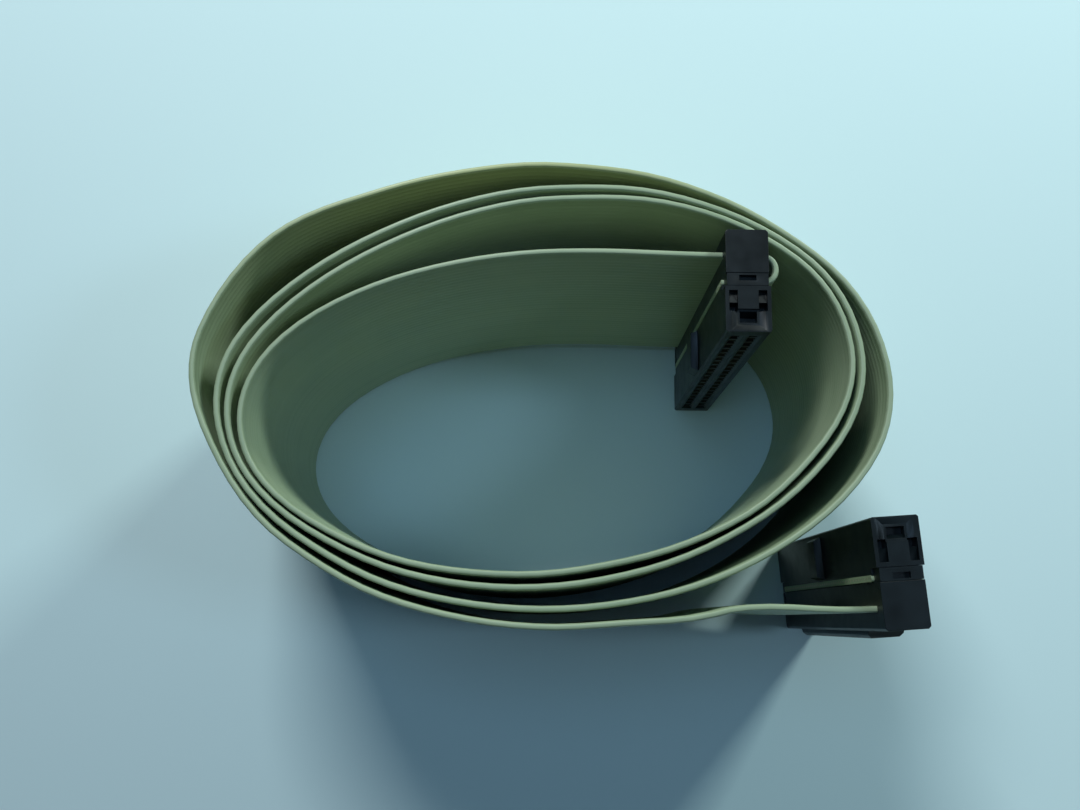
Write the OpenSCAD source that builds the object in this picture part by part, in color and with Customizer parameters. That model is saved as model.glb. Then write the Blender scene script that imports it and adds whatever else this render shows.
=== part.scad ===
// Flat ribbon cable, wound into a loose oval coil that stands on its edge, with a crimped-on
// two-row socket at each end. X runs along the oval, Y across it, and Z up.
// The origin is on the surface the cable stands on, under the middle of the whole.

/* [Ribbon] */
// Number of wires side by side, half of them for each row of a socket
wires = 40; // [20:2:50]
// Spacing of the wires, and so of the contacts, across the ribbon
wire_pitch = 1.27; // [1.2:0.01:1.4]
// Thickness of the ribbon over its jacket
ribbon_t = 0.88; // [0.7:0.02:1.1]
// Width of the bevel along the ribbon's two edges
ribbon_bevel = 0.25; // [0.1:0.05:0.3]

/* [Coil] */
// Length of the innermost turn, measured as an even oval
oval_l = 88; // [73:1:110]
// Width of the innermost turn, measured as an even oval
oval_w = 46; // [38:1:60]
// How far the oval is turned from X, in degrees
oval_turn = 6; // [0:1:10]
// Smallest clear gap between one turn and the next
turn_gap = 0.2; // [0.2:0.05:1]
// Angle between one ring of the swept ribbon and the next, in degrees
ring_step = 6; // [5, 6, 10]

/* [Sockets] */
// Width of a socket body across its two rows
body_w = 6.4; // [6:0.1:8]
// Height of a socket body from its mating face to the ribbon that lies on it
body_h = 7.5; // [7:0.1:9.5]
// Width of the cover that presses the ribbon onto the contacts
cover_w = 5.8; // [5.2:0.1:5.9]
// Thickness of that cover
cover_h = 3.2; // [2.8:0.1:4]
// Thickness of the strain relief bar without its rib
relief_h = 2.45; // [2:0.05:3.2]
// Height of the rib that stands proud of the strain relief bar
rib_h = 1.1; // [0.8:0.05:2]
// Length of that rib
rib_l = 36; // [18:1:40]
// How far a socket reaches past each edge of the ribbon
end_over = 2.55; // [2.3:0.05:3.5]
// Distance between the two rows of contacts
row_pitch = 2.54; // [2.4:0.01:2.6]
// Clearance between the moulded pieces, and round the contacts
clear = 0.05; // [0.03:0.01:0.08]
// How far the fold of the ribbon stands out of the inner socket's side
inner_fold = 1.9; // [1.2:0.1:2.5]
// How far the fold of the ribbon stands out of the outer socket's side
outer_fold = 0.9; // [0.9:0.1:2.5]

/* [Hidden] */

jacket_grey = "#aab39a";
black = "#20262a";
tin = "#c9cbc6";

ribbon_w = wires * wire_pitch;
socket_l = ribbon_w + 2 * end_over;
mid_z = socket_l / 2;

// Levels in a socket, counted from its mating face along its height
cut_y = body_h + ribbon_t / 2;
cover_y = body_h + ribbon_t;
entry_y = cover_y + cover_h + ribbon_t / 2;
relief_y = entry_y + ribbon_t / 2;
fold_r = (entry_y - cut_y) / 2;
// Widths of the strain relief bar and of its rib, and the bevel along the rib's edges
relief_w = 6.05;
rib_w = 5;
rib_edge = 0.5;

// ---------------------------------------------------------------- the coil's route

// Middle of the oval
oval_at = [-0.2, -1];
// Direction in which the coil begins, and the step between the directions listed below
first_dir = 90;
dir_step = 20;
dirs = 18;
// The innermost turn against an even oval, in each direction from the back round to the left
oval_shape = [0.89, 0.9, 0.92, 0.95, 0.98, 0.98, 0.995, 1.04, 1.06,
              1.07, 1.06, 1.05, 1.02, 0.97, 1.01, 1.14, 1.245, 1.285];
// Slack between each further turn and the one inside it, beyond the smallest gap
slack = [[8.0, 7.2, 6.1, 4.5, 2.2, 0.4, 0.3, 0.5, 0.7, 0.7, 0.8, 0.7, 0.5, 0.9, 0.3, 0.1, 0.1, 0.5],
         [0.6, 0.8, 1.0, 1.2, 1.2, 0.1, 0.6, 1.2, 1.5, 1.9, 2.5, 3.3, 4.2, 4.6, 1.9, 0.1, 0.7, 1.6],
         [2.6, 3.5, 5.1, 7.3, 4.4, 0.4, 0.6, 0.8, 1.0, 1.3, 1.7, 3.6]];
last_knot = dirs * len(slack) + len(slack[2]) - 1;
last_dir = first_dir + dir_step * last_knot;

// The rib of the inner socket clears the turn that passes outside it, in this direction, by this much
pass_dir = 399.5;
pass_gap = 0.15;
// The outer socket follows the end of the coil by a share of the oval's length, and this far back
out_run = 0.248;
out_back = 0.6;
// Turn of the outer socket, in degrees
outer_turn = 4.5;
// How far the cut end of the ribbon stands out of the side of each socket
cut_out = 0.05;
// Points of the free runs, as shares of the way from the coil to the socket, and how far the
// ribbon bows to the back of the straight line there
in_bow = [[0.2, 0.2], [0.4, 0.25], [0.6, 0.15], [0.8, 0.05]];
out_bow = [[0.2, 0.4], [0.45, 0.3], [0.7, 0]];

function knot_shape(n) = oval_shape[n % dirs];
function knot_out(n) = n < dirs ? 0 :
    knot_out(n - dirs) + ribbon_t + turn_gap + slack[floor(n / dirs) - 1][n % dirs];
// Smooth curve through four neighbouring values, at t between the second and the third
function smooth4(a, b, c, d, t) =
    b + t * (c - a) / 2 + t * t * (a - 2.5 * b + 2 * c - d / 2)
    + t * t * t * (1.5 * b - a / 2 - 1.5 * c + d / 2);
function held(n) = max(0, min(last_knot, n));
function shape_at(i, t) =
    smooth4(knot_shape(held(i - 1)), knot_shape(i), knot_shape(held(i + 1)), knot_shape(held(i + 2)), t);
function out_at(i, t) =
    smooth4(knot_out(held(i - 1)), knot_out(i), knot_out(held(i + 1)), knot_out(held(i + 2)), t);
// Distance from the middle to an even oval, in a direction counted from its long axis
function oval_reach(a) = oval_l * oval_w / 2 / sqrt(pow(oval_w * cos(a), 2) + pow(oval_l * sin(a), 2));
function reach(dir) =
    let (u = (dir - first_dir) / dir_step, i = min(floor(u), last_knot - 1))
    oval_reach(dir - oval_turn) * shape_at(i, u - i) + out_at(i, u - i);
function coil_point(dir) = oval_at + reach(dir) * [cos(dir), sin(dir)];

// The sockets reach below the ribbon, so its ends are lifted off the surface
lift_in = 110;
lift_out = 90;
function ease(t) = let (c = max(0, min(1, t))) c * c * (3 - 2 * c);
function lift(dir) =
    end_over * (ease((first_dir + lift_in - dir) / lift_in) + ease((dir - last_dir + lift_out) / lift_out));

// Direction square to the coil and out of it
function coil_out(dir) = let (d = coil_point(dir + 1) - coil_point(dir - 1)) [d.y, -d.x] / norm(d);

// Places of the sockets on the floor plan, as the middle of the mating face
coil_start = coil_point(first_dir);
coil_end = coil_point(last_dir);
inner_corner = [rib_w / 2 - rib_edge, relief_y + relief_h + rib_h];
inner_at = coil_point(pass_dir) - (ribbon_t / 2 + pass_gap) * coil_out(pass_dir) - inner_corner;
outer_at = coil_end + [out_run * oval_l, entry_y + out_back];

// A socket's own plan points put in their place; the outer one faces the other way
function turned(p, a) = [p.x * cos(a) - p.y * sin(a), p.x * sin(a) + p.y * cos(a)];
function inner_place(p) = inner_at + p;
function outer_place(p) = outer_at + turned([p.x, -p.y], outer_turn);

// The ribbon through a socket: cut end, across the contacts, round the cover and out again
fold_steps = 12;
fold_start = cover_w / 2 - 0.3;
function fold_x(out) = body_w / 2 + out - ribbon_t / 2 - fold_start;
function through_socket(out) = concat(
    [[-body_w / 2 - cut_out, cut_y], [0, cut_y]],
    [for (k = [0:fold_steps]) let (a = -90 + 180 * k / fold_steps)
        [fold_start + fold_x(out) * cos(a), cut_y + fold_r + fold_r * sin(a)]],
    [[0, entry_y], socket_exit]);
socket_exit = [-body_w / 2, entry_y];
inner_thread = through_socket(inner_fold);
outer_thread = through_socket(outer_fold);

// The free runs: smooth through their bowed points, level with the coil and with the socket
run_in = [0, entry_y];
run_steps = [0.25, 0.5, 0.75, 1];
function bowed(from, to, bows) = [for (b = bows) from + b[0] * (to - from) + [0, b[1]]];
function smooth_run(p) = [for (i = [1:len(p) - 3]) for (t = run_steps)
    smooth4(p[i - 1], p[i], p[i + 1], p[i + 2], t)];
coil_before = coil_point(first_dir + 2 * ring_step);
coil_after = coil_point(last_dir - ring_step);
inner_exit = inner_place(socket_exit);
outer_exit = outer_place(socket_exit);
inner_run = smooth_run(concat([coil_before, coil_start], bowed(coil_start, inner_exit, in_bow),
    [inner_exit, inner_place(run_in)]));
outer_run = smooth_run(concat([coil_after, coil_end], bowed(coil_end, outer_exit, out_bow),
    [outer_exit, outer_place(run_in)]));

// The whole route, as [x, y, height of the ribbon's lower edge]
route = concat(
    [for (p = inner_thread) concat(inner_place(p), end_over)],
    [for (k = [len(inner_run) - 2:-1:0]) concat(inner_run[k], end_over)],
    [for (dir = [first_dir:ring_step:last_dir]) concat(coil_point(dir), lift(dir))],
    [for (k = [0:len(outer_run) - 2]) concat(outer_run[k], end_over)],
    [for (k = [len(outer_thread) - 1:-1:0]) concat(outer_place(outer_thread[k]), end_over)]);

// ---------------------------------------------------------------- the ribbon

// Outline of the ribbon across its length: [out from its middle plane, height]
function ribbon_section() = let (h = ribbon_t / 2, b = ribbon_bevel, w = ribbon_w)
    [[-h, b], [b - h, 0], [h - b, 0], [h, b], [h, w - b], [h - b, w], [b - h, w], [-h, w - b]];

// Sideways direction of the route at point i, lengthened at bends so that the thickness stays true
function route_dir(i, j) = let (d = [route[j].x - route[i].x, route[j].y - route[i].y]) d / norm(d);
function across(i) =
    let (n = len(route) - 1,
         a = route_dir(max(0, i - 1), max(1, i)),
         b = route_dir(min(i, n - 1), min(i + 1, n)),
         m = (a + b) / norm(a + b),
         grow = 1 / (m * a))
    [m.y, -m.x] * grow;

module ribbon_solid() {
    section = ribbon_section();
    s = len(section);
    n = len(route);
    points = [for (i = [0:n - 1]) let (side = across(i)) for (q = section)
        [route[i].x + side.x * q.x, route[i].y + side.y * q.x, route[i].z + q.y]];
    walls = [for (i = [0:n - 2]) for (k = [0:s - 1]) let (l = (k + 1) % s)
        each [[i * s + k, i * s + l, (i + 1) * s + l], [i * s + k, (i + 1) * s + l, (i + 1) * s + k]]];
    ends = [[for (k = [s - 1:-1:0]) k], [for (k = [0:s - 1]) (n - 1) * s + k]];
    polyhedron(points, concat(walls, ends));
}

module ribbon() {
    color(jacket_grey)
    difference() {
        ribbon_solid();
        place_inner() prong_slots(cut_y - ribbon_t, 2 * ribbon_t);
        place_outer() prong_slots(cut_y - ribbon_t, 2 * ribbon_t);
    }
}

// ---------------------------------------------------------------- the sockets

// Each socket is drawn with its mating face on Y = 0 and its height along Y, at mid length
module place_inner() {
    translate([inner_at.x, inner_at.y, mid_z]) children();
}

// The outer socket is the same socket rolled over, so that it faces the other way
module place_outer() {
    translate([outer_at.x, outer_at.y, mid_z]) rotate([0, 0, outer_turn]) rotate([180, 0, 0]) children();
}

per_row = wires / 2;
contact_pitch = 2 * wire_pitch;
half_l = socket_l / 2;
half_ribbon = ribbon_w / 2;

// Middle of contact k along the socket; the rows are staggered by one wire
function contact_z(k, row) = (k + 0.5 - per_row / 2) * contact_pitch + (row - 0.5) * wire_pitch;
function row_x(row) = (row - 0.5) * row_pitch;

// Extrudes an X-Z outline along the socket's height, from y0 upwards
module up(y0, h) {
    translate([0, y0 + h, 0]) rotate([90, 0, 0]) linear_extrude(h) children();
}

// Extrudes a Y-Z outline, drawn as [height, length], across the socket's width
module across_width(x0, w) {
    translate([x0, 0, 0]) rotate([0, 0, 90]) rotate([90, 0, 0]) linear_extrude(w) children();
}

module block(x, y, z) {
    translate([x[0], y[0], z[0]]) cube([x[1] - x[0], y[1] - y[0], z[1] - z[0]]);
}

// The same thing at both ends of the socket
module both_ends() {
    children();
    mirror([0, 0, 1]) children();
}

// Contacts: a forked blade that bites the wire, and two spring beams that grip the pin
blade_t = 0.3;
blade_w = 1.7;
wire_slot = 0.36;
blade_top = cover_y + 1.1;
blade_root = body_h - 1.6;
prong_w = (blade_w - wire_slot) / 2;
beam_t = 0.26;
beam_w = 1.1;
beam_spread = 0.62;
pin_gap = 0.3;
cavity_x = 1.84;
cavity_z = 1.84;
floor_y = 1.3;
mouth = 1.0;
lead_in = 0.45;

module blade_outline() {
    tip = 0.45;
    polygon([[blade_root, -blade_w / 2], [blade_top - tip, -blade_w / 2],
        [blade_top, -blade_w / 2 + 0.25], [blade_top - tip, -wire_slot / 2],
        [body_h - 0.9, -wire_slot / 2], [body_h - 0.9, wire_slot / 2],
        [blade_top - tip, wire_slot / 2], [blade_top, blade_w / 2 - 0.25],
        [blade_top - tip, blade_w / 2], [blade_root, blade_w / 2]]);
}

// One beam, seen along the socket: it bends in to grip the pin and flares at its tip
module beam_outline() {
    tip_y = floor_y + 0.35;
    grip_y = tip_y + 0.9;
    top_y = blade_root + 0.7;
    polygon([[beam_spread, top_y], [beam_spread, blade_root - 0.6], [pin_gap, grip_y],
        [pin_gap + 0.22, tip_y], [pin_gap + 0.22 + beam_t, tip_y],
        [pin_gap + beam_t, grip_y], [beam_spread + beam_t, blade_root - 0.6], [beam_spread + beam_t, top_y]]);
}

module contact() {
    across_width(-blade_t / 2, blade_t) blade_outline();
    translate([0, 0, -beam_w / 2]) linear_extrude(beam_w) {
        beam_outline();
        mirror([1, 0]) beam_outline();
        translate([-beam_spread - beam_t / 2, blade_root]) square([2 * beam_spread + beam_t, 0.5]);
    }
}

module contacts(row) {
    color(tin)
    for (k = [0:per_row - 1]) translate([row_x(row), 0, contact_z(k, row)]) contact();
}

// Openings for both rows at once, each a rectangle in the X-Z plane
module each_contact() {
    for (row = [0, 1]) for (k = [0:per_row - 1])
        translate([row_x(row), contact_z(k, row)]) children();
}

module prong_slots(y0, h) {
    up(y0, h) each_contact() for (side = [-1, 1])
        translate([0, side * (wire_slot + prong_w) / 2])
            square([blade_t + 2 * clear, prong_w + 2 * clear], center = true);
}

// Square funnels at the mating face: grooves along both rows cut by a comb across them
module funnels() {
    intersection() {
        translate([0, 0, -half_l]) linear_extrude(socket_l) for (row = [0, 1])
            translate([row_x(row), 0]) funnel_outline();
        across_width(-body_w / 2, body_w) for (row = [0, 1]) for (k = [0:per_row - 1])
            translate([0, contact_z(k, row)]) rotate(-90) funnel_outline();
    }
}

module funnel_outline() {
    polygon([[-mouth / 2 - lead_in, -0.01], [mouth / 2 + lead_in, -0.01],
        [mouth / 2 + lead_in, 0], [mouth / 2, lead_in], [-mouth / 2, lead_in], [-mouth / 2 - lead_in, 0]]);
}

// ---- body
corner = 0.25;
key_w = 4.2;
key_out = 1.15;
key_y0 = 1.2;
step_y = body_h - 0.85;
prong_x = 2.05;
prong_leg = 1.1;
window_y = [3, 6];
hole_x = 1.2;
hole_y = [1.4, 3];
hole_slope = 0.6;
panel_x = 2.35;
panel_y = [0.3, 3.3];
panel_d = 0.35;
panel_slope = 0.7;

module body_outline() {
    w = body_w / 2;
    polygon([[-w + corner, 0], [w - corner, 0], [w, corner], [w, body_h], [-w, body_h], [-w, corner]]);
}

module body() {
    z_in = half_ribbon + 0.1;
    color(black)
    difference() {
        union() {
            translate([0, 0, -z_in]) linear_extrude(2 * z_in) body_outline();
            both_ends() translate([0, 0, z_in]) linear_extrude(half_l - z_in) intersection() {
                body_outline();
                translate([-body_w, -1]) square([2 * body_w, step_y + 1]);
            }
            // Key on the side where the ribbon comes in, with a sloping foot
            translate([0, 0, -key_w / 2]) linear_extrude(key_w)
                polygon([[-body_w / 2 + 0.1, key_y0 - 0.6], [-body_w / 2 - key_out, key_y0],
                    [-body_w / 2 - key_out, body_h - 0.7], [-body_w / 2 + 0.1, body_h - 0.2]]);
        }
        up(-0.5, floor_y + 1) each_contact() square(mouth, center = true);
        up(floor_y, body_h) each_contact() square([cavity_x, cavity_z], center = true);
        funnels();
        both_ends() {
            // Slots for the cover's two legs, their windows, and the sunk panel with its hole
            for (x = [-prong_x, prong_x]) {
                leg_x = [x - prong_leg / 2 - clear, x + prong_leg / 2 + clear];
                block(leg_x, [window_y[0] - clear, body_h + 1], [z_in + 0.3, half_l - 0.75]);
                block(leg_x, window_y, [z_in + 0.4, half_l + 1]);
            }
            sunk_panel();
            across_width(-hole_x, 2 * hole_x)
                polygon([[hole_y[0], half_l - 1.7], [hole_y[1] - hole_slope, half_l - 1.7],
                    [hole_y[1] - hole_slope, half_l - panel_d - 0.8], [hole_y[1], half_l - panel_d],
                    [hole_y[1], half_l + 1], [hole_y[0], half_l + 1]]);
        }
    }
}

// Shallow recess in the end face whose foot and sides slope
module sunk_panel() {
    floor_z = half_l - panel_d;
    intersection() {
        across_width(-panel_x, 2 * panel_x)
            polygon([[panel_y[0], half_l], [panel_y[0] + panel_slope, floor_z],
                [panel_y[1], floor_z], [panel_y[1], half_l + 1], [panel_y[0], half_l + 1]]);
        up(0, body_h)
            polygon([[-panel_x, half_l], [panel_slope - panel_x, floor_z], [panel_x - panel_slope, floor_z],
                [panel_x, half_l], [panel_x, half_l + 1], [-panel_x, half_l + 1]]);
    }
}

// ---- cover
leg_in = half_ribbon + 0.1 + 0.3 + clear;
leg_out = half_l - 0.75 - clear;
shelf_y = cover_y + 0.1;
cover_round = 0.8;
groove_r = 0.5;
groove_depth = 0.22;
wedge_y = 4.2;
notch_y = [7.4, 8.2];

module cover_outline() {
    w = cover_w / 2;
    h = cover_h;
    translate([0, cover_y]) union() {
        translate([-w, 0]) square([cover_w - cover_round, h]);
        translate([0, cover_round]) square([w, h - 2 * cover_round]);
        for (y = [cover_round, h - cover_round])
            translate([w - cover_round, y]) circle(cover_round, $fn = 48);
    }
}

module cover() {
    color(black)
    difference() {
        union() {
            translate([0, 0, -half_ribbon]) linear_extrude(ribbon_w) cover_outline();
            both_ends() {
                // End block that closes on the body, its shelf, and the two legs that end in a wedge
                block([-cover_w / 2, cover_w / 2], [step_y + clear, relief_y - ribbon_t - clear],
                    [half_ribbon + 0.1 + clear, half_l - 1]);
                block([-cover_w / 2, cover_w / 2], [cover_y, relief_y - ribbon_t - clear],
                    [half_ribbon - 0.5, half_ribbon + 0.5]);
                block([-cover_w / 2, cover_w / 2], [step_y + clear, shelf_y], [leg_in, half_l]);
                for (x = [-prong_x, prong_x])
                    across_width(x - prong_leg / 2, prong_leg)
                        polygon([[step_y + 1, leg_in], [wedge_y, leg_in], [wedge_y, half_l - 0.1],
                            [window_y[1] - clear, leg_out], [step_y + 1, leg_out]]);
            }
        }
        // Grooves that seat the wires, and pockets for the tips of the blades
        across_width(-cover_w, 2 * cover_w) for (k = [0:wires - 1])
            translate([cover_y - groove_r + groove_depth, (k + 0.5) * wire_pitch - half_ribbon])
                circle(groove_r, $fn = 32);
        up(step_y, blade_top - step_y + 0.2) each_contact()
            square([blade_t + 4 * clear, blade_w + 4 * clear], center = true);
        both_ends() {
            // Notch in the end face, and the catch for the strain relief
            block([-hole_x, hole_x], notch_y, [leg_out, half_l + 1]);
            block([-cover_w, cover_w], [catch_y - 0.3 - clear, catch_y + 0.3 + clear],
                [half_l - 1.4, half_l]);
        }
    }
}

// ---- strain relief
catch_y = cover_y + 1.2;
relief_leg = 0.9;
relief_edge = 0.35;

module relief_outline() {
    w = relief_w / 2;
    y1 = relief_y + relief_h;
    polygon([[-w, relief_y], [w, relief_y], [w, y1 - relief_edge], [w - relief_edge, y1],
        [relief_edge - w, y1], [-w, y1 - relief_edge]]);
}

module strain_relief() {
    rib_top = relief_y + relief_h + rib_h;
    rib_foot = rib_top - rib_h - 0.5;
    color(black)
    union() {
        translate([0, 0, -half_l]) linear_extrude(socket_l) relief_outline();
        // Rib with sloping ends and bevelled edges
        intersection() {
            across_width(-rib_w / 2, rib_w)
                polygon([[rib_foot, -rib_l / 2 - rib_h], [rib_foot, rib_l / 2 + rib_h],
                    [rib_top - rib_h, rib_l / 2 + rib_h], [rib_top, rib_l / 2], [rib_top, -rib_l / 2],
                    [rib_top - rib_h, -rib_l / 2 - rib_h]]);
            translate([0, 0, -half_l]) linear_extrude(socket_l)
                polygon([[-rib_w / 2, rib_foot], [rib_w / 2, rib_foot], [rib_w / 2, rib_top - rib_edge],
                    [rib_w / 2 - rib_edge, rib_top], [rib_edge - rib_w / 2, rib_top],
                    [-rib_w / 2, rib_top - rib_edge]]);
        }
        both_ends() {
            // Foot that rests on the cover's end, and the leg that snaps over it
            block([-relief_w / 2, relief_w / 2], [relief_y - ribbon_t, relief_y + 0.5],
                [half_ribbon + 0.1, half_l]);
            across_width(-relief_w / 2, relief_w)
                polygon([[relief_y, half_l - relief_leg], [catch_y + 0.3, half_l - relief_leg],
                    [catch_y + 0.3, half_l - relief_leg - 0.35], [catch_y - 0.1, half_l - relief_leg - 0.35],
                    [catch_y - 0.3, half_l - relief_leg], [shelf_y + clear, half_l - relief_leg],
                    [shelf_y + clear, half_l], [relief_y, half_l]]);
        }
    }
}

module inner_body() { place_inner() body(); }
module inner_cover() { place_inner() cover(); }
module inner_strain_relief() { place_inner() strain_relief(); }
module inner_contacts_odd() { place_inner() contacts(0); }
module inner_contacts_even() { place_inner() contacts(1); }
module outer_body() { place_outer() body(); }
module outer_cover() { place_outer() cover(); }
module outer_strain_relief() { place_outer() strain_relief(); }
module outer_contacts_odd() { place_outer() contacts(0); }
module outer_contacts_even() { place_outer() contacts(1); }

ribbon();
inner_body();
inner_cover();
inner_strain_relief();
inner_contacts_odd();
inner_contacts_even();
outer_body();
outer_cover();
outer_strain_relief();
outer_contacts_odd();
outer_contacts_even();
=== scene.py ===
import math

import bmesh
import bpy
import numpy as np
from mathutils import Matrix, Vector


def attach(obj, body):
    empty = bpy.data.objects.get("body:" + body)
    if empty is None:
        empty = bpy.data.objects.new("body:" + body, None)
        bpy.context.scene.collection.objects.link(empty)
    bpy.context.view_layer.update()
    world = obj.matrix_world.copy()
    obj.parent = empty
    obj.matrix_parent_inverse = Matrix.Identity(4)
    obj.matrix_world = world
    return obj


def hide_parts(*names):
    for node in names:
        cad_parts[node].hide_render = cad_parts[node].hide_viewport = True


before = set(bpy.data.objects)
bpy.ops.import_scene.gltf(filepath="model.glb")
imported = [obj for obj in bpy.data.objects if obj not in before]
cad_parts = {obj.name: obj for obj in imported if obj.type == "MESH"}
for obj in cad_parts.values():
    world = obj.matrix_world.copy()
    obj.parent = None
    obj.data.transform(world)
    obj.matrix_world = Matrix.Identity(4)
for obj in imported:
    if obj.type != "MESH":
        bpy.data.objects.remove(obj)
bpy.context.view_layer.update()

# ------------------------------------------------------------------ camera
# Stands above the coil, a little in front of its middle, and looks down and slightly back, so
# that the coil is seen into and the far walls show their inner faces.
MM = 0.001
eye = Vector((-1, -32, 196.8)) * MM
tilt = math.radians(11.5)
roll = math.radians(0.75)
level_right = Vector((1, 0, 0))
level_up = Vector((0, math.cos(tilt), math.sin(tilt)))
camera_right = math.cos(roll) * level_right + math.sin(roll) * level_up
camera_up = math.cos(roll) * level_up - math.sin(roll) * level_right
turn = Matrix((camera_right, camera_up, camera_right.cross(camera_up))).transposed()

camera_data = bpy.data.cameras.new("camera")
camera_data.sensor_width = 36
camera_data.lens = 35.33
camera_data.clip_start = 0.01
camera = bpy.data.objects.new("camera", camera_data)
camera.matrix_world = Matrix.Translation(eye) @ turn.to_4x4()
bpy.context.scene.collection.objects.link(camera)
bpy.context.scene.camera = camera

# ------------------------------------------------------------------ ribbon: its route
# The ribbon starts in the inner socket, winds outwards in a loose oval coil that stands on its
# edge, and ends in the outer socket. The route repeats the one that the frame was built from.
WIRES = 40
PITCH = 1.27 * MM
RIBBON_T = 0.88 * MM
RIBBON_W = WIRES * PITCH
TURN_GAP = 0.2 * MM
END_OVER = 2.55 * MM

# The oval that the coil is wound round, and the directions, in degrees, at which its shape is given
OVAL_L = 88 * MM
OVAL_W = 46 * MM
OVAL_TURN = 6
OVAL_AT = np.array([-0.2, -1]) * MM
FIRST_DIR = 90
DIR_STEP = 20
DIRS = 18
# The innermost turn as shares of the oval, and the slack in mm outside each turn in that direction
OVAL_SHAPE = [0.89, 0.9, 0.92, 0.95, 0.98, 0.98, 0.995, 1.04, 1.06,
              1.07, 1.06, 1.05, 1.02, 0.97, 1.01, 1.14, 1.245, 1.285]
SLACK = [[8.0, 7.2, 6.1, 4.5, 2.2, 0.4, 0.3, 0.5, 0.7, 0.7, 0.8, 0.7, 0.5, 0.9, 0.3, 0.1, 0.1, 0.5],
         [0.6, 0.8, 1.0, 1.2, 1.2, 0.1, 0.6, 1.2, 1.5, 1.9, 2.5, 3.3, 4.2, 4.6, 1.9, 0.1, 0.7, 1.6],
         [2.6, 3.5, 5.1, 7.3, 4.4, 0.4, 0.6, 0.8, 1.0, 1.3, 1.7, 3.6]]
# Degrees of the coil over which each end rises to its socket
LIFT_IN = 110
LIFT_OUT = 90
LAST_KNOT = DIRS * len(SLACK) + len(SLACK[2]) - 1
LAST_DIR = FIRST_DIR + DIR_STEP * LAST_KNOT

# Levels in a socket, counted from its mating face
BODY_W = 6.4 * MM
BODY_H = 7.5 * MM
COVER_W = 5.8 * MM
COVER_H = 3.2 * MM
RELIEF_H = 2.45 * MM
RIB_H = 1.1 * MM
RIB_W = 5 * MM
RIB_EDGE = 0.5 * MM
CUT_Y = BODY_H + RIBBON_T / 2
ENTRY_Y = BODY_H + RIBBON_T + COVER_H + RIBBON_T / 2
RELIEF_Y = ENTRY_Y + RIBBON_T / 2
CUT_OUT = 0.05 * MM
# How far each fold stands out past its socket, and where it starts inside the cover's end
INNER_FOLD = 1.9 * MM
OUTER_FOLD = 0.9 * MM
FOLD_START = 0.3 * MM
FOLD_POINTS = 25
# The turn that passes behind the inner socket, and where the outer socket stands
PASS_DIR = 399.5
PASS_GAP = 0.15 * MM
OUTER_TURN = math.radians(4.5)
OUT_RUN = 0.248
OUT_BACK = 0.6 * MM
# Points of the two free runs, as shares of the way to the socket, and their bow to the back in mm
RUN_POINTS = 12
IN_BOW = np.array([[0.2, 0.2], [0.4, 0.25], [0.6, 0.15], [0.8, 0.05]])
OUT_BOW = np.array([[0.2, 0.4], [0.45, 0.3], [0.7, 0]])


def smooth_through(values, u):
    """Catmull-Rom curve through evenly spaced values, read at u, which counts the spaces."""
    last = len(values) - 1
    i = np.minimum(np.floor(u).astype(int), last - 1)
    t = u - i
    a, b, c, d = (values[np.clip(i + k, 0, last)] for k in (-1, 0, 1, 2))
    return (b + t * (c - a) / 2 + t ** 2 * (a - 2.5 * b + 2 * c - d / 2)
            + t ** 3 * (1.5 * b - a / 2 - 1.5 * c + d / 2))


def coil_point(direction):
    """Plan point of the coil in a direction in degrees: the innermost oval times its shape, plus the
    thickness, the gap and the slack of every turn that lies inside this one."""
    direction = np.atleast_1d(np.asarray(direction, float))
    knots = np.arange(LAST_KNOT + 1)
    shape = np.array(OVAL_SHAPE)[knots % DIRS]
    slack = np.array([0.0] * DIRS + sum(SLACK, [])) * MM
    spacing = np.where(knots < DIRS, 0, slack + RIBBON_T + TURN_GAP)
    outward = np.array([spacing[n % DIRS:n + 1:DIRS].sum() for n in knots])
    u = (direction - FIRST_DIR) / DIR_STEP
    angle = np.radians(direction - OVAL_TURN)
    oval = OVAL_L * OVAL_W / 2 / np.hypot(OVAL_W * np.cos(angle), OVAL_L * np.sin(angle))
    reach = oval * smooth_through(shape, u) + smooth_through(outward, u)
    way = np.radians(direction)
    return OVAL_AT + reach[:, None] * np.stack([np.cos(way), np.sin(way)], 1)


def turned(points, angle):
    """Plan points turned about the origin by an angle."""
    c, s = math.cos(angle), math.sin(angle)
    return points @ np.array([[c, s], [-s, c]])


def through_socket(fold):
    """Plan points of the ribbon in a socket's own frame: from its cut end across the contacts, round
    the cover in a half circle, and out on the same side as the cut end."""
    start = COVER_W / 2 - FOLD_START
    out = BODY_W / 2 + fold - RIBBON_T / 2 - start
    radius = (ENTRY_Y - CUT_Y) / 2
    a = np.radians(np.linspace(-90, 90, FOLD_POINTS))
    bend = np.stack([start + out * np.cos(a), CUT_Y + radius + radius * np.sin(a)], 1)
    return np.concatenate([[[-BODY_W / 2 - CUT_OUT, CUT_Y], [0, CUT_Y]], bend,
                           [[0, ENTRY_Y], [-BODY_W / 2, ENTRY_Y]]])


around_pass = coil_point([PASS_DIR - 1, PASS_DIR, PASS_DIR + 1])
along = around_pass[2] - around_pass[0]
square_out = np.array([along[1], -along[0]]) / np.hypot(*along)
inner_corner = np.array([RIB_W / 2 - RIB_EDGE, RELIEF_Y + RELIEF_H + RIB_H])
inner_at = around_pass[1] - (RIBBON_T / 2 + PASS_GAP) * square_out - inner_corner
outer_at = coil_point(LAST_DIR)[0] + [OUT_RUN * OVAL_L, ENTRY_Y + OUT_BACK]
MIRROR_Y = np.array([1, -1])


def inner_place(points):
    """A socket's own plan points, put where the inner socket is."""
    return inner_at + points


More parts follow.
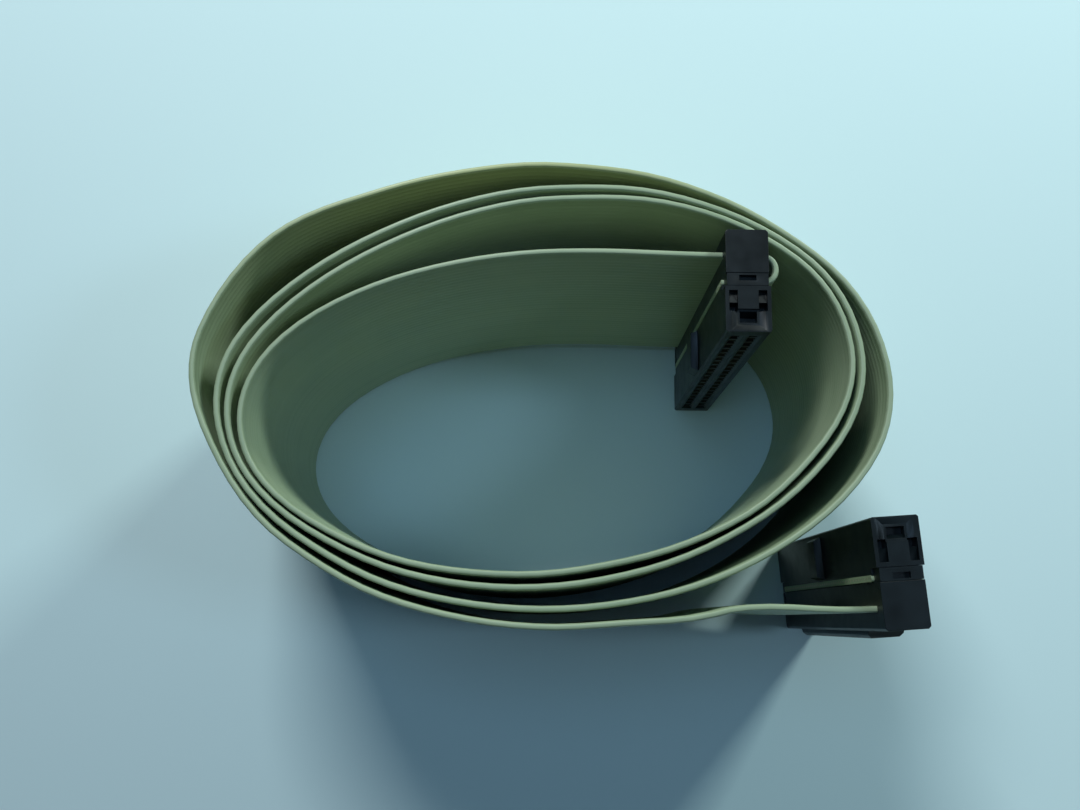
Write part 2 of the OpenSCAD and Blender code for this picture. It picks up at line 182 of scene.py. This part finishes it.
def outer_place(points):
    """The same for the outer socket, which faces the other way."""
    return outer_at + turned(points * MIRROR_Y, OUTER_TURN)


def eased(t):
    """Smooth step from 0 to 1."""
    t = np.clip(t, 0, 1)
    return t * t * (3 - 2 * t)


def respaced(line, step):
    """A line read at even spaces along it: each place is worked out between its two neighbours."""
    at = np.concatenate([[0], np.cumsum(np.linalg.norm(np.diff(line, axis=0), axis=1))])
    to = np.linspace(0, at[-1], round(at[-1] / step) + 1)
    return np.stack([np.interp(to, at, line[:, k]) for k in range(line.shape[1])], 1)


def free_run(beyond, start, bows, place):
    """Plan points of the run between the coil and a socket: smooth through bowed points of the
    straight line from the coil's end to the socket's side, in line with both at its ends."""
    stop, inside = place(np.array([[-BODY_W / 2, ENTRY_Y], [0, ENTRY_Y]]))
    between = start + bows[:, :1] * (stop - start) + bows[:, 1:] * [0, MM]
    knots = np.array([beyond, start, *between, stop, inside])
    spans = len(knots) - 3
    u = np.linspace(1, 1 + spans, RUN_POINTS * spans + 1)[1:-1]
    return np.stack([smooth_through(knots[:, k], u) for k in range(2)], 1)


# In degrees: how far back on the coil each free run finds its first direction, and the coil's step
IN_LEAD = 12
OUT_LEAD = 6
COIL_STEP = 2.0
inner_run = free_run(*coil_point([FIRST_DIR + IN_LEAD, FIRST_DIR]), IN_BOW, inner_place)[::-1]
outer_run = free_run(*coil_point([LAST_DIR - OUT_LEAD, LAST_DIR]), OUT_BOW, outer_place)
coil_dirs = np.arange(FIRST_DIR, LAST_DIR + 1, COIL_STEP)
coil_lift = END_OVER * (eased((FIRST_DIR + LIFT_IN - coil_dirs) / LIFT_IN)
                        + eased((coil_dirs - LAST_DIR + LIFT_OUT) / LIFT_OUT))
inner_thread = inner_place(through_socket(INNER_FOLD))
outer_thread = outer_place(through_socket(OUTER_FOLD))[::-1]
plan = [inner_thread, inner_run, coil_point(coil_dirs), outer_run, outer_thread]
lifts = [np.full(len(part), END_OVER) for part in plan]
lifts[2] = coil_lift
route = np.column_stack([np.concatenate(plan), np.concatenate(lifts)])

# A soft ribbon has no corners, so the even line is averaged with its neighbours a few times
ROUTE_STEP = 0.25 * MM
SOFTEN = 8
line = respaced(route, ROUTE_STEP)
for _ in range(SOFTEN):
    line[1:-1] = (line[:-2] + 2 * line[1:-1] + line[2:]) / 4
run = np.concatenate([[0], np.cumsum(np.linalg.norm(np.diff(line, axis=0), axis=1))])

# ------------------------------------------------------------------ ribbon: its jacket
# Extruded PVC, one piece over forty wires side by side: each wire shows as a low round ridge on
# both faces, with a groove between it and the next, and the ribbon's two edges are rounded.
GROOVE_HALF = 0.36 * MM
# The rounded edge: half thicknesses, and how far each lies from the edge
EDGE_HALF = np.array([0.20, 0.31, 0.38]) * MM
EDGE_IN = np.array([0, 0.06, 0.17]) * MM
# Rings along the ribbon: their longest space, their largest turn in radians, and their number
LONGEST_SPACE = 3 * MM
MOST_BEND = 0.11
RINGS = 390
# Edges sharper than this stay sharp, which are only the rims of the two cut ends
CREASE = math.radians(32)


def hex_colour(value):
    """Linear colour of an sRGB hex value."""
    srgb = np.array([int(value[k:k + 2], 16) for k in (1, 3, 5)]) / 255
    return (*np.where(srgb <= 0.04045, srgb / 12.92, ((srgb + 0.055) / 1.055) ** 2.4).tolist(), 1.0)


def add_node(tree, kind, inputs=None, **settings):
    """Adds a node. Settings are its properties; inputs are values, or outputs to link from."""
    made = tree.nodes.new(kind)
    for name, value in settings.items():
        setattr(made, name, value)
    for name, value in (inputs or {}).items():
        if isinstance(value, bpy.types.NodeSocket):
            tree.links.new(value, made.inputs[name])
        else:
            made.inputs[name].default_value = value
    return made


def new_material(name):
    """An empty material: its node tree and its surface shader."""
    material = bpy.data.materials.new(name)
    material.use_nodes = True
    tree = material.node_tree
    tree.nodes.clear()
    shader = add_node(tree, "ShaderNodeBsdfPrincipled")
    add_node(tree, "ShaderNodeOutputMaterial", {"Surface": shader.outputs["BSDF"]})
    return material, tree, shader


def new_piece(name, points, faces, material):
    """A mesh piece of the object from arrays of points and faces."""
    mesh = bpy.data.meshes.new(name)
    mesh.from_pydata(points.reshape(-1, 3).tolist(), [], faces)
    mesh.materials.append(material)
    piece = bpy.data.objects.new(name, mesh)
    bpy.context.scene.collection.objects.link(piece)
    return piece


def ribbon_rings():
    """Where along the ribbon its rings lie. They are as dense as one in each longest space, or one
    for each largest turn where the ribbon bends faster, scaled to give the number of rings."""
    ahead = np.gradient(line[:, :2], run, axis=0)
    heading = np.unwrap(np.arctan2(ahead[:, 1], ahead[:, 0]))
    bend = np.abs(np.gradient(heading, run))
    density = np.maximum(1 / LONGEST_SPACE, bend / MOST_BEND)
    count = np.concatenate([[0], np.cumsum((density[1:] + density[:-1]) / 2 * np.diff(run))])
    return np.interp(np.linspace(0, count[-1], RINGS), count, run)


def half_section():
    """One face of the ribbon across its width, as half thicknesses and heights: each wire's back
    stands at the full half thickness over its middle third, and falls to a groove on each side."""
    thirds = np.arange(1, 3 * WIRES)
    half = np.where(thirds % 3 == 0, GROOVE_HALF, RIBBON_T / 2)
    return (np.concatenate([EDGE_HALF, half, EDGE_HALF[::-1]]),
            np.concatenate([EDGE_IN, thirds / 3 * PITCH, RIBBON_W - EDGE_IN[::-1]]))


def jacket_surface():
    """Rings carried along the route: each point is the route's point, plus its half thickness
    square to the route, plus its height. A ring goes up one face of the ribbon and down the other,
    and the cut ends are closed by a strip of quads. The UVs are the length and the height."""
    at = ribbon_rings()
    centre = np.stack([np.interp(at, run, line[:, k]) for k in range(3)], 1)
    ahead = np.gradient(line[:, :2], run, axis=0)
    ahead = np.stack([np.interp(at, run, ahead[:, k]) for k in range(2)], 1)
    ahead /= np.linalg.norm(ahead, axis=1)[:, None]
    side = np.stack([ahead[:, 1], -ahead[:, 0], 0 * at], 1)
    half, height = half_section()
    out = np.concatenate([half, -half[::-1]])
    tall = np.concatenate([height, height[::-1]])
    points = centre[:, None, :] + side[:, None, :] * out[None, :, None]
    points[:, :, 2] += tall
    round_it = len(out)
    i, k = np.meshgrid(np.arange(RINGS - 1), np.arange(round_it), indexing="ij")
    above = (k + 1) % round_it
    skin = np.stack([i * round_it + k, (i + 1) * round_it + k,
                     (i + 1) * round_it + above, i * round_it + above], -1).reshape(-1, 4)
    j = np.arange(len(half) - 1)
    cap = np.stack([j, j + 1, round_it - 2 - j, round_it - 1 - j], 1)
    far_cap = (RINGS - 1) * round_it + cap[:, ::-1]
    faces = np.concatenate([skin, cap, far_cap])
    uv = np.stack(np.broadcast_arrays(at[:, None], tall[None, :]), -1).reshape(-1, 2)
    return points, faces, uv


# Grey plasticised PVC, extruded: a soft satin face, drawn out along the wires, that dulls a
# little where it was handled, and keeps a faint difference of tone from wire to wire. Painted
# shade darkens the slit edges, and a painted warm olive glow, standing in for light that passes
# through the ribbon and bounces between the turns, tints the outer turn at the back.
pvc, tree, shader = new_material("pvc_jacket_extruded")
uv_map = add_node(tree, "ShaderNodeUVMap", uv_map="along_and_up")
axes = add_node(tree, "ShaderNodeSeparateXYZ", {"Vector": uv_map.outputs["UV"]})
place = add_node(tree, "ShaderNodeTexCoord")
WIRE_SHARE = 0.25
wire_number = add_node(tree, "ShaderNodeMath", {0: axes.outputs["Y"], 1: PITCH}, operation="DIVIDE")
wire_step = add_node(tree, "ShaderNodeMath", {0: wire_number.outputs[0]}, operation="FLOOR")
wire_tone = add_node(tree, "ShaderNodeTexWhiteNoise", {"W": wire_step.outputs[0]}, noise_dimensions="1D")
CLOUD = 14 * MM
cloud = add_node(tree, "ShaderNodeTexNoise", {"Vector": place.outputs["Object"], "Scale": 1 / CLOUD,
                                              "Detail": 3.0, "Roughness": 0.55})
tones = add_node(tree, "ShaderNodeMath",
                 {0: wire_tone.outputs["Value"], 1: WIRE_SHARE, 2: cloud.outputs["Fac"]},
                 operation="MULTIPLY_ADD")
jacket_colour = add_node(tree, "ShaderNodeValToRGB", {"Fac": tones.outputs[0]})
ramp = jacket_colour.color_ramp
ramp.elements[0].position = 0.35
ramp.elements[0].color = hex_colour("#91a383")
ramp.elements[1].position = 0.85
ramp.elements[1].color = hex_colour("#9faf90")
# The stretch of painted glow: the middle of it along the ribbon, and how far it fades out to each side
PAINTED_GLOW_AT = 750 * MM
PAINTED_GLOW_HALF = 60 * MM
# The mix node's two colours and its result, by number, because their names are used twice
COLOUR_A = 6
COLOUR_B = 7
COLOUR_MIXED = 2
# Painted glow: over that stretch the colour is mixed towards a warm olive, for light that passes through the
# ribbon and bounces between the turns
away = add_node(tree, "ShaderNodeMath", {0: axes.outputs["X"], 1: PAINTED_GLOW_AT}, operation="SUBTRACT")
away_by = add_node(tree, "ShaderNodeMath", {0: away.outputs[0]}, operation="ABSOLUTE")
painted_glow_share = add_node(tree, "ShaderNodeMapRange", {"Value": away_by.outputs[0], "From Min": PAINTED_GLOW_HALF,
                                                  "From Max": 0.0}, interpolation_type="SMOOTHSTEP")
with_painted_glow = add_node(tree, "ShaderNodeMix",
                {"Factor": painted_glow_share.outputs["Result"], COLOUR_A: jacket_colour.outputs["Color"],
                 COLOUR_B: hex_colour("#a9b27c")}, data_type="RGBA")
# Painted shade: the colour is darkened over the last quarter millimetre of each rim, top and bottom
PAINTED_SHADE_BAND = 0.25 * MM
PAINTED_SHADE_LEVEL = 0.86
off_middle = add_node(tree, "ShaderNodeMath", {0: axes.outputs["Y"], 1: RIBBON_W / 2},
                      operation="SUBTRACT")
off_by = add_node(tree, "ShaderNodeMath", {0: off_middle.outputs[0]}, operation="ABSOLUTE")
painted_rim_shade = add_node(tree, "ShaderNodeMapRange",
                     {"Value": off_by.outputs[0], "From Min": RIBBON_W / 2 - PAINTED_SHADE_BAND,
                      "From Max": RIBBON_W / 2 - PAINTED_SHADE_BAND / 2, "To Min": 1.0, "To Max": PAINTED_SHADE_LEVEL})
toned = add_node(tree, "ShaderNodeHueSaturation",
                 {"Color": with_painted_glow.outputs[COLOUR_MIXED], "Value": painted_rim_shade.outputs["Result"]})
tree.links.new(toned.outputs["Color"], shader.inputs["Base Color"])
# The grain and the draw lines of the die, coarser than the real ones so that they show
GRAIN = 0.12 * MM
DRAWN = 6 * MM
drawn = add_node(tree, "ShaderNodeMapping", {"Vector": uv_map.outputs["UV"],
                                             "Scale": (1 / DRAWN, 1 / GRAIN, 1)})
streaks = add_node(tree, "ShaderNodeTexNoise", {"Vector": drawn.outputs["Vector"], "Scale": 1.0,
                                                "Detail": 2.0})
grain = add_node(tree, "ShaderNodeTexNoise", {"Vector": place.outputs["Object"], "Scale": 1 / GRAIN,
                                              "Detail": 2.0})
relief = add_node(tree, "ShaderNodeMath", {0: streaks.outputs["Fac"], 1: grain.outputs["Fac"]},
                  operation="ADD")
bump = add_node(tree, "ShaderNodeBump", {"Height": relief.outputs[0], "Strength": 0.35,
                                         "Distance": 0.01 * MM})
tree.links.new(bump.outputs["Normal"], shader.inputs["Normal"])
dull = add_node(tree, "ShaderNodeMapRange", {"Value": cloud.outputs["Fac"], "From Min": 0.3,
                                             "From Max": 0.7, "To Min": 0.38, "To Max": 0.52})
tree.links.new(dull.outputs["Result"], shader.inputs["Roughness"])
shader.inputs["IOR"].default_value = 1.53

ribbon_points, ribbon_faces, ribbon_uv = jacket_surface()
ribbon = new_piece("ribbon_jacket", ribbon_points, ribbon_faces.tolist(), pvc)
uv_layer = ribbon.data.uv_layers.new(name="along_and_up")
corner_points = np.zeros(len(ribbon.data.loops), np.int32)
ribbon.data.loops.foreach_get("vertex_index", corner_points)
uv_layer.data.foreach_set("uv", ribbon_uv[corner_points].astype(np.float32).ravel())
ribbon.data.shade_smooth()
ribbon.data.set_sharp_from_angle(angle=CREASE)
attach(ribbon, "root")
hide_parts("ribbon")

# ------------------------------------------------------------------ ribbon: the cut wire ends
# Each wire is seven strands of tinned copper, cut off flush with the jacket. They show as a row
# of small bright dots on the ribbon's two cut ends, beside the sockets.
STRAND_R = 0.0635 * MM
STRANDS_ROUND = 6
STRAND_SIDES = 6
# A stub's foot and top, counted outwards from the cut
STUB_SPAN = np.array([-0.04, 0.02]) * MM


def strand_ends(cut_at, outwards):
    """The strands of all the wires at a cut end: one in the middle of each wire and six round it,
    each a short six-sided stub that stands out of the cut."""
    turn_of = np.radians(360 / STRANDS_ROUND) * np.arange(STRANDS_ROUND)
    ring = 2 * STRAND_R * np.stack([np.cos(turn_of), np.sin(turn_of)], 1)
    strands = np.concatenate([[[0, 0]], ring])
    corner_of = np.radians(360 / STRAND_SIDES) * np.arange(STRAND_SIDES)
    rim = STRAND_R * np.stack([np.cos(corner_of), np.sin(corner_of)], 1)
    height = END_OVER + (np.arange(WIRES) + 0.5) * PITCH
    outwards = np.append(outwards, 0)
    side = np.cross([0, 0, 1], outwards)
    across = strands[None, :, None, :] + rim[None, None, :, :]
    across = np.broadcast_to(across, (WIRES, *across.shape[1:]))
    points = (np.append(cut_at, 0) + across[..., None, 0, None] * side
              + (height[:, None, None, None, None] + across[..., None, 1, None]) * [0, 0, 1]
              + STUB_SPAN[:, None] * outwards)
    return points.reshape(-1, STRAND_SIDES, 2, 3)


def stub_faces(count):
    """Faces of stubs with their foot and top points in turn round the rim: walls, top and foot."""
    k = np.arange(STRAND_SIDES)
    beside = (k + 1) % STRAND_SIDES
    walls = np.stack([2 * k, 2 * beside, 2 * beside + 1, 2 * k + 1], 1)
    base = 2 * STRAND_SIDES * np.arange(count)
    walls = (base[:, None, None] + walls).reshape(-1, 4).tolist()
    tops = (base[:, None] + 2 * k + 1).tolist()
    feet = (base[:, None] + 2 * k[::-1]).tolist()
    return walls + tops + feet


# Tinned copper, drawn and cut: pale grey metal, fairly bright, a little rough from the blade
tinned, tree, shader = new_material("tinned_copper_cut")
place = add_node(tree, "ShaderNodeTexCoord")
CUT_MARK = 0.05 * MM
cut_marks = add_node(tree, "ShaderNodeTexNoise", {"Vector": place.outputs["Object"],
                                                  "Scale": 1 / CUT_MARK})
tin_colour = add_node(tree, "ShaderNodeValToRGB", {"Fac": cut_marks.outputs["Fac"]})
tin_colour.color_ramp.elements[0].color = hex_colour("#b8a487")
tin_colour.color_ramp.elements[1].color = hex_colour("#d6d2c6")
tree.links.new(tin_colour.outputs["Color"], shader.inputs["Base Color"])
shader.inputs["Metallic"].default_value = 1.0
shader.inputs["Roughness"].default_value = 0.35

inner_cut = inner_place(np.array([-BODY_W / 2 - CUT_OUT, CUT_Y]))
outer_cut = outer_place(np.array([-BODY_W / 2 - CUT_OUT, CUT_Y]))
stubs = np.concatenate([strand_ends(inner_cut, np.array([-1.0, 0.0])),
                        strand_ends(outer_cut, turned(np.array([-1.0, 0.0]), OUTER_TURN))])
strands = new_piece("wire_strands", stubs, stub_faces(len(stubs)), tinned)
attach(strands, "root")

# ------------------------------------------------------------------ sockets: plastic pieces
# Body, cover and strain relief of each socket are moulded in black glass-filled polyester and
# snap together over the ribbon. Every moulded edge has a small radius from the tool.
EDGE_R = 0.09 * MM
EDGE_SEGMENTS = 2
MERGE = 0.002 * MM
# Faces are made one within the first angle and shaded smooth within the second, and edges past
# the third are rounded
FLAT_WITHIN = math.radians(1)
SMOOTH_WITHIN = math.radians(25)
EDGE_PAST = math.radians(35)

# Glass-filled polyester, injection moulded: near black, a dull satin face with a fine tool
# texture, and faint paler clouds where the glass lies close under the skin. The tool texture is
# drawn coarser than the real one, so that it shows.
polyester, tree, shader = new_material("glass_filled_polyester_moulded")
place = add_node(tree, "ShaderNodeTexCoord")
FLOW = 3 * MM
TOOL_GRAIN = 0.1 * MM
flow = add_node(tree, "ShaderNodeTexNoise", {"Vector": place.outputs["Object"], "Scale": 1 / FLOW,
                                             "Detail": 4.0})
plastic_colour = add_node(tree, "ShaderNodeValToRGB", {"Fac": flow.outputs["Fac"]})
plastic_colour.color_ramp.elements[0].position = 0.3
plastic_colour.color_ramp.elements[0].color = hex_colour("#02080a")
plastic_colour.color_ramp.elements[1].position = 0.75
plastic_colour.color_ramp.elements[1].color = hex_colour("#051115")
tree.links.new(plastic_colour.outputs["Color"], shader.inputs["Base Color"])
texture = add_node(tree, "ShaderNodeTexNoise", {"Vector": place.outputs["Object"], "Scale": 1 / TOOL_GRAIN,
                                                "Detail": 2.0})
bump = add_node(tree, "ShaderNodeBump", {"Height": texture.outputs["Fac"], "Strength": 0.25,
                                         "Distance": 0.01 * MM})
tree.links.new(bump.outputs["Normal"], shader.inputs["Normal"])
dull = add_node(tree, "ShaderNodeMapRange", {"Value": flow.outputs["Fac"], "From Min": 0.3,
                                             "From Max": 0.7, "To Min": 0.34, "To Max": 0.42})
tree.links.new(dull.outputs["Result"], shader.inputs["Roughness"])
shader.inputs["IOR"].default_value = 1.4


def moulded(node, name):
    """A merged copy of a CAD node, with its flat faces made whole and its edges rounded."""
    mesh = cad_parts[node].data.copy()
    mesh.name = name
    mesh.materials.clear()
    work = bmesh.new()
    work.from_mesh(mesh)
    bmesh.ops.remove_doubles(work, verts=work.verts, dist=MERGE)
    bmesh.ops.dissolve_limit(work, angle_limit=FLAT_WITHIN, verts=work.verts, edges=work.edges)
    work.to_mesh(mesh)
    work.free()
    mesh.materials.append(polyester)
    piece = bpy.data.objects.new(name, mesh)
    bpy.context.scene.collection.objects.link(piece)
    mesh.shade_smooth()
    mesh.set_sharp_from_angle(angle=SMOOTH_WITHIN)
    rounding = piece.modifiers.new("edge_radius", "BEVEL")
    rounding.width = EDGE_R
    rounding.segments = EDGE_SEGMENTS
    rounding.limit_method = "ANGLE"
    rounding.angle_limit = EDGE_PAST
    rounding.harden_normals = True
    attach(piece, "root")
    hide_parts(node)
    return piece


for which in ("inner", "outer"):
    for part in ("body", "cover", "strain_relief"):
        moulded(f"{which}_{part}", f"{which}_{part}_moulded")

# ------------------------------------------------------------------ sockets: contacts
# Stamped phosphor bronze, tin plated: forty forked blades and spring beams in each socket, seen
# only down the square mouths and in the cover's pockets, as pale metal that is dull in patches.
contact_tin, tree, shader = new_material("tin_plated_bronze_stamped")
place = add_node(tree, "ShaderNodeTexCoord")
PLATING = 0.4 * MM
plating = add_node(tree, "ShaderNodeTexNoise", {"Vector": place.outputs["Object"], "Scale": 1 / PLATING,
                                                "Detail": 3.0})
plating_colour = add_node(tree, "ShaderNodeValToRGB", {"Fac": plating.outputs["Fac"]})
plating_colour.color_ramp.elements[0].color = hex_colour("#b9b6ad")
plating_colour.color_ramp.elements[1].color = hex_colour("#dcdad2")
tree.links.new(plating_colour.outputs["Color"], shader.inputs["Base Color"])
dull = add_node(tree, "ShaderNodeMapRange", {"Value": plating.outputs["Fac"], "To Min": 0.22, "To Max": 0.42})
tree.links.new(dull.outputs["Result"], shader.inputs["Roughness"])
shader.inputs["Metallic"].default_value = 1.0

for which in ("inner", "outer"):
    for row in ("odd", "even"):
        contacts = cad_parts[f"{which}_contacts_{row}"]
        contacts.data.materials.clear()
        contacts.data.materials.append(contact_tin)

# ------------------------------------------------------------------ floor and light
# A plain pale floor under daylight from two windows behind the coil, left and right, which draw
# its shadow towards the front. A bluish ceiling and a far window on the right fill the shadow.
FLOOR_HALF = 1.2
floor_mesh = bpy.data.meshes.new("floor")
floor_mesh.from_pydata([(-FLOOR_HALF, -FLOOR_HALF, 0), (FLOOR_HALF, -FLOOR_HALF, 0),
                        (FLOOR_HALF, FLOOR_HALF, 0), (-FLOOR_HALF, FLOOR_HALF, 0)], [], [(0, 1, 2, 3)])
floor = bpy.data.objects.new("floor", floor_mesh)
bpy.context.scene.collection.objects.link(floor)
floor_finish, tree, shader = new_material("pale_floor")
shader.inputs["Base Color"].default_value = hex_colour("#c5dcde")
shader.inputs["Roughness"].default_value = 0.8
floor_mesh.materials.append(floor_finish)

LIT_POINT = Vector((0, 0, 0.02))


def lamp(name, at, size, watts, colour):
    """A rectangular lamp that faces the coil: its place, its width and height, power and colour."""
    data = bpy.data.lights.new(name, "AREA")
    data.shape = "RECTANGLE"
    data.size, data.size_y = size
    data.energy = watts
    data.color = hex_colour(colour)[:3]
    made = bpy.data.objects.new(name, data)
    made.location = at
    made.rotation_euler = (LIT_POINT - Vector(at)).to_track_quat("-Z", "Y").to_euler()
    bpy.context.scene.collection.objects.link(made)


lamp("window_left", (-0.14, 0.37, 0.43), (0.18, 0.12), 2.25, "#f4fbfd")
lamp("window_right", (0.335, 0.37, 0.29), (0.10, 0.08), 1.7, "#ecfcf8")
lamp("ceiling", (-0.07, 0.04, 0.58), (0.25, 0.2), 0.47, "#a4d4ff")
lamp("window_far", (0.46, -0.06, 0.56), (0.12, 0.12), 0.64, "#c4e6ff")

world = bpy.data.worlds.new("sky")
world.use_nodes = True
sky = world.node_tree.nodes["Background"]
sky.inputs["Color"].default_value = hex_colour("#e6f0f5")
sky.inputs["Strength"].default_value = 0.03
bpy.context.scene.world = world
bpy.context.scene.view_settings.view_transform = "Standard"
